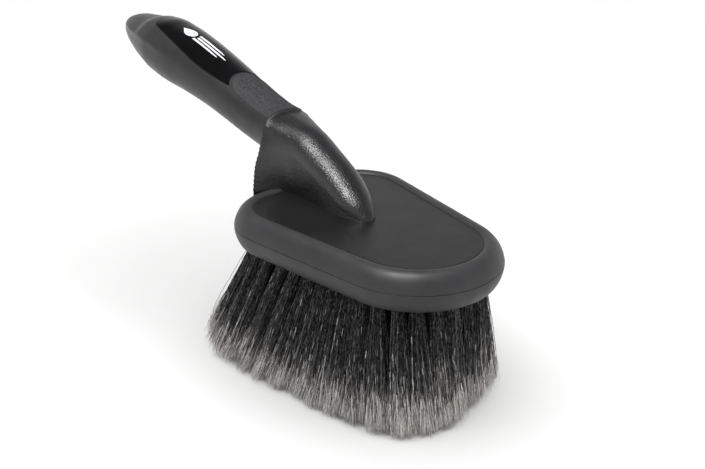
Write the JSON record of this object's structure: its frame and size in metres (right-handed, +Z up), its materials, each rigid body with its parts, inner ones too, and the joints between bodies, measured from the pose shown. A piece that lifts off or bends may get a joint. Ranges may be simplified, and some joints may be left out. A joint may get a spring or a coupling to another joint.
{
  "type": "wheel brush",
  "caption": "Short-handled wheel cleaning brush with a rounded oblong head, flared flagged bristles, a soft bumper round the head and a soft grip with an inlaid badge and thumb pad.",
  "frame": {"origin": "on the floor under the middle of the head, at the tip of the centre tuft", "axes": "+X towards the head's rounded nose with the handle towards -X, +Z up out of the head's top face, +Y to the left of the nose"},
  "size_m": [0.2512, 0.1054, 0.1172],
  "materials": {
    "core_plastic": "moulded black polypropylene, fine-grained, satin to semi-gloss",
    "grip_rubber": "matte soft-touch dark grey",
    "pad_rubber": "finely textured matte grey",
    "badge_gloss": "polished near-black",
    "mark_white": "white printed ink",
    "bumper_rubber": "satin soft rubber, slightly violet grey",
    "block_plastic": "machined black polypropylene",
    "bristle": "fine shiny black filaments whose flagged tips are light grey",
    "staple_metal": "plain flat wire"
  },
  "bodies": {
    "root": {"handle_core": "core_plastic", "grip_sleeve": "grip_rubber", "thumb_pad": "pad_rubber", "badge_plate": "badge_gloss", "badge_mark": "mark_white", "head_bumper": "bumper_rubber", "bristle_block": "block_plastic", "tufts_ring_1": "bristle", "tufts_ring_2": "bristle", "tufts_ring_3": "bristle", "tufts_ring_4": "bristle", "tufts_centre": "bristle", "anchors_ring_1": "staple_metal", "anchors_ring_2": "staple_metal", "anchors_ring_3": "staple_metal", "anchors_ring_4": "staple_metal", "anchors_centre": "staple_metal"}
  },
  "joints": []
}
